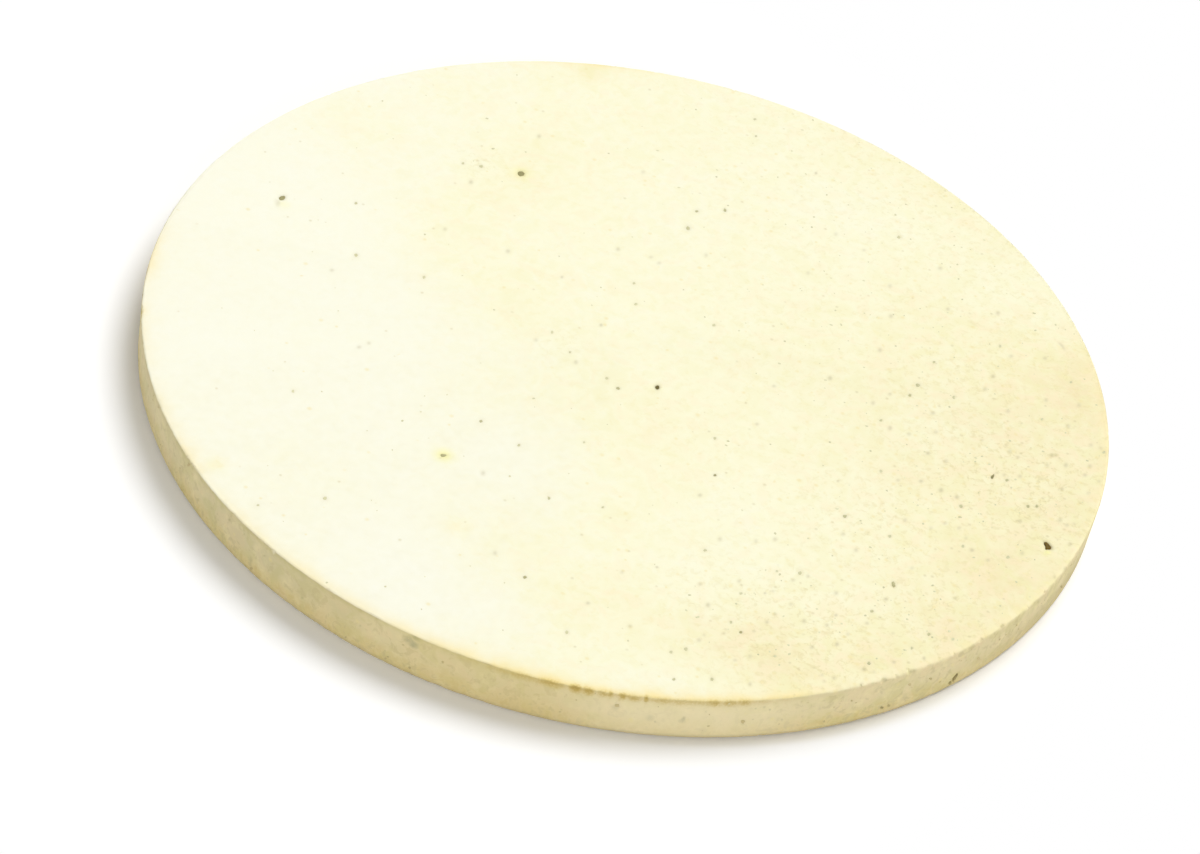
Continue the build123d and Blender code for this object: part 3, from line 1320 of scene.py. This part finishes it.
def grain_material(name, rough):
    """Iron and clay grains, from pale buff to nearly black brown by their darkness."""
    material, nodes, shader = new_material(name)
    place = nodes.place()
    fine = nodes.noise(place, 0.4 * mm, 4, 0.6)
    broad = nodes.noise(place, 1.6 * mm, 2, 0.5)
    share = nodes.sums("MULTIPLY_ADD", fine, 0.24, nodes.tone("darkness"))
    share = nodes.sums("MULTIPLY_ADD", broad, 0.12, share)
    share = nodes.sums("SUBTRACT", share, 0.18, clamp=True)
    on_face_tint = nodes.ramp(share, [
        (0.08, (236, 232, 192)),
        (0.3, (212, 207, 164)),
        (0.5, (172, 166, 118)),
        (0.75, (122, 116, 70)),
        (0.9, (92, 82, 40)),
        (1.0, (102, 80, 14)),
    ])
    on_rim_tint = nodes.ramp(share, [
        (0.08, (228, 212, 164)),
        (0.3, (206, 188, 136)),
        (0.5, (168, 154, 104)),
        (0.75, (130, 118, 74)),
    ])
    rim_top = stone_thickness - 1.4 * mm
    face_foot = stone_thickness - 0.9 * mm
    by_rim = nodes.eased(nodes.height(place), rim_top, face_foot, 1.0, 0.0)
    nodes.fill(shader, {
        "Base Color": nodes.mixed(by_rim, on_face_tint, on_rim_tint),
        "Roughness": nodes.eased(fine, 0.3, 0.7, rough - 0.12, rough + 0.1),
        "Specular IOR Level": 0.15,
        "Normal": nodes.bump(fine, 0.5, 0.08 * mm),
    })
    return material


# Fine grains: how many, least and most millimetres of radius, how rare large ones are, darknesses
Fine = namedtuple("Fine", "count radii rarity darknesses")
face_fine = Fine(380, (0.2, 0.54), 2, (0.1, 0.3))
rim_fine = Fine(150, (0.2, 0.54), 2, (0.1, 0.32))
underside_fine = Fine(420, (0.2, 0.8), 4, (0.25, 0.7))
face_tries = 14000
share_of_speckle = 0.5
fine_margin = 1.2 * mm
fine_rim_margin = 1.4 * mm
clear_of_spots = 2
most_drawn_out = 0.7


def fine_spot(place, kind, size, chance):
    """A small spot turned any way and drawn out a little."""
    radius = between(*kind.radii, size ** kind.rarity) * mm
    darkness = between(*kind.darknesses, chance.random())
    outward = straight_out(place)
    turn = Matrix.Rotation(chance.random() * math.tau, 3, outward)
    across = (turn @ outward.orthogonal()).normalized()
    drawn = 1 + most_drawn_out * chance.random() ** 2
    return Spot(place, across * radius * drawn, outward.cross(across) * radius, darkness, None)


def fine_face_spots(chance):
    """Fine grains of the face, densest where it is speckled."""
    tries = [[chance.random() for _ in range(4)] for _ in range(face_tries)]
    way_shares, turn_shares, lucks, sizes = np.array(tries).T
    ways = (face_edge - fine_margin) * np.sqrt(way_shares)
    angles = turn_shares * math.tau
    heights = np.full(face_tries, stone_thickness)
    places = np.column_stack([ways * np.cos(angles), ways * np.sin(angles), heights])
    speckle = face_tones(places)["speckle"]
    for spot in main_spots:
        speckle[spot_distance(places, spot) < clear_of_spots] = 0
    spots = []
    for place, density, luck, size in zip(places, speckle, lucks, sizes):
        if luck < share_of_speckle * density and len(spots) < face_fine.count:
            spots.append(fine_spot(Vector(place), face_fine, size, chance))
    return spots


def fine_rim_spot(chance):
    """A fine grain anywhere round the rim."""
    angle = chance.random() * math.tau
    height = between(lowest_rim_spot, stone_thickness - fine_rim_margin, chance.random())
    return fine_spot(at_bearing(angle, stone_radius, height), rim_fine, chance.random(), chance)


def fine_underside_spot(chance):
    """A fine grain anywhere on the underside."""
    way = (underside_radius - fine_margin) * math.sqrt(chance.random())
    angle = chance.random() * math.tau
    return fine_spot(at_bearing(angle, way, 0), underside_fine, chance.random(), chance)


def make_iron_spots():
    """The photographed dark grains."""
    grains = [sunk_grain(spot, grain_sink) for spot in grain_spots]
    return lumpy_grains("iron_spots", grains, 3, 4, grain_material("iron_grain", 0.62))


def make_fine_grains():
    """The scattered fine grains of the face, the rim and the underside, in this order."""
    chance = random.Random(71)
    grains = [sunk_grain(spot, fine_face_grain_sink) for spot in fine_face_spots(chance)]
    grains += [sunk_grain(fine_rim_spot(chance), grain_sink) for _ in range(rim_fine.count)]
    grains += [sunk_grain(fine_underside_spot(chance), grain_sink) for _ in range(underside_fine.count)]
    return lumpy_grains("fine_grains", grains, 2, 6, grain_material("fine_grain", 0.75))


# The studio
floor_radius = 4.0
floor_sides = 64
shadow_middle = (-0.1, 0, 0)
white_start = 0.19
white_end = 0.28
contact_start = stone_radius + 1.5 * mm
contact_end = stone_radius + 8 * mm
floor_lift = 0.06
floor_grey = (0.8, 0.8, 0.8, 1)
white = (1, 1, 1, 1)
world_strength = 0.22
# Lamps: name, where the light comes from, strength and softness in degrees
lamps = [
    ("key", Vector((0.304, 0.486, 0.819)), 2.52, 40),
    ("fill", Vector((0.4, -0.9, 0.18)), 1.46, 45),
    ("side", Vector((-0.96, -0.2, 0.18)), 0.76, 45),
]


def seen_by_camera(nodes):
    """1 for rays from the camera, also by way of gloss or glass."""
    paths = nodes.add("LightPath")
    seen = nodes.sums("MAXIMUM", paths.outputs["Is Camera Ray"], paths.outputs["Is Glossy Ray"])
    return nodes.sums("MAXIMUM", seen, paths.outputs["Is Transmission Ray"])


def whiteness_of_floor(nodes):
    """0 in the stone's shadow and 1 away from it."""
    place = nodes.place()
    away = nodes.add("VectorMath", {0: place, 1: shadow_middle}, operation="DISTANCE").outputs["Value"]
    from_stone = nodes.add("VectorMath", {0: place}, operation="LENGTH").outputs["Value"]
    past_shadow = nodes.eased(away, white_start, white_end)
    return nodes.sums("MINIMUM", past_shadow, nodes.eased(from_stone, contact_start, contact_end))


def floor_paper():
    """Pale paper that is plain white away from the stone."""
    material = bpy.data.materials.new("floor_paper")
    material.use_nodes = True
    nodes = Nodes(material.node_tree)
    nodes.tree.nodes.clear()
    plain = nodes.add("BsdfDiffuse", {"Color": floor_grey}).outputs[0]
    bright = nodes.add("BsdfDiffuse", {"Color": white}).outputs[0]
    lift = nodes.add("Emission", {"Color": white, "Strength": floor_lift}).outputs[0]
    glow = nodes.add("Emission", {"Color": white, "Strength": 1.0}).outputs[0]
    lifted = nodes.add("AddShader", {0: bright, 1: lift}).outputs[0]
    shown = nodes.add("MixShader", {0: whiteness_of_floor(nodes), 1: lifted, 2: glow}).outputs[0]
    result = nodes.add("MixShader", {0: seen_by_camera(nodes), 1: plain, 2: shown}).outputs[0]
    nodes.add("OutputMaterial", {0: result})
    return material


def make_floor():
    """A round floor under the stone that keeps its shadow."""
    turns = np.linspace(0, math.tau, floor_sides + 1)[:-1]
    mesh = bpy.data.meshes.new("floor")
    mesh.from_pydata([at_bearing(turn, floor_radius, 0) for turn in turns], [], [list(range(floor_sides))])
    mesh.materials.append(floor_paper())
    floor = bpy.data.objects.new("floor", mesh)
    bpy.context.scene.collection.objects.link(floor)


def make_world():
    """White all round to the camera, and a weak light on the stone."""
    world = bpy.data.worlds.new("studio")
    bpy.context.scene.world = world
    world.use_nodes = True
    nodes = Nodes(world.node_tree)
    nodes.tree.nodes.clear()
    strength = nodes.eased(seen_by_camera(nodes), 0, 1, world_strength, 1.0)
    background = nodes.add("Background", {"Color": white, "Strength": strength})
    nodes.add("OutputWorld", {0: background.outputs[0]})


def make_lamp(name, from_side, strength, softness):
    lamp_data = bpy.data.lights.new(name, "SUN")
    lamp_data.energy = strength
    lamp_data.angle = math.radians(softness)
    lamp = bpy.data.objects.new(name, lamp_data)
    lamp.rotation_mode = "QUATERNION"
    lamp.rotation_quaternion = from_side.to_track_quat("Z", "Y")
    bpy.context.scene.collection.objects.link(lamp)


def make_camera():
    data = bpy.data.cameras.new("camera")
    data.lens = lens_length
    data.sensor_width = sensor_width
    camera = bpy.data.objects.new("camera", data)
    camera.matrix_world = Matrix.Translation(camera_place) @ camera_turn().to_4x4()
    bpy.context.scene.collection.objects.link(camera)
    bpy.context.scene.camera = camera


make_camera()
make_floor()
make_world()
for name, from_side, strength, softness in lamps:
    make_lamp(name, from_side, strength, softness)
for piece in [make_stone(), make_iron_spots(), make_fine_grains()]:
    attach(piece, "root")

bpy.context.scene.view_settings.view_transform = "Standard"
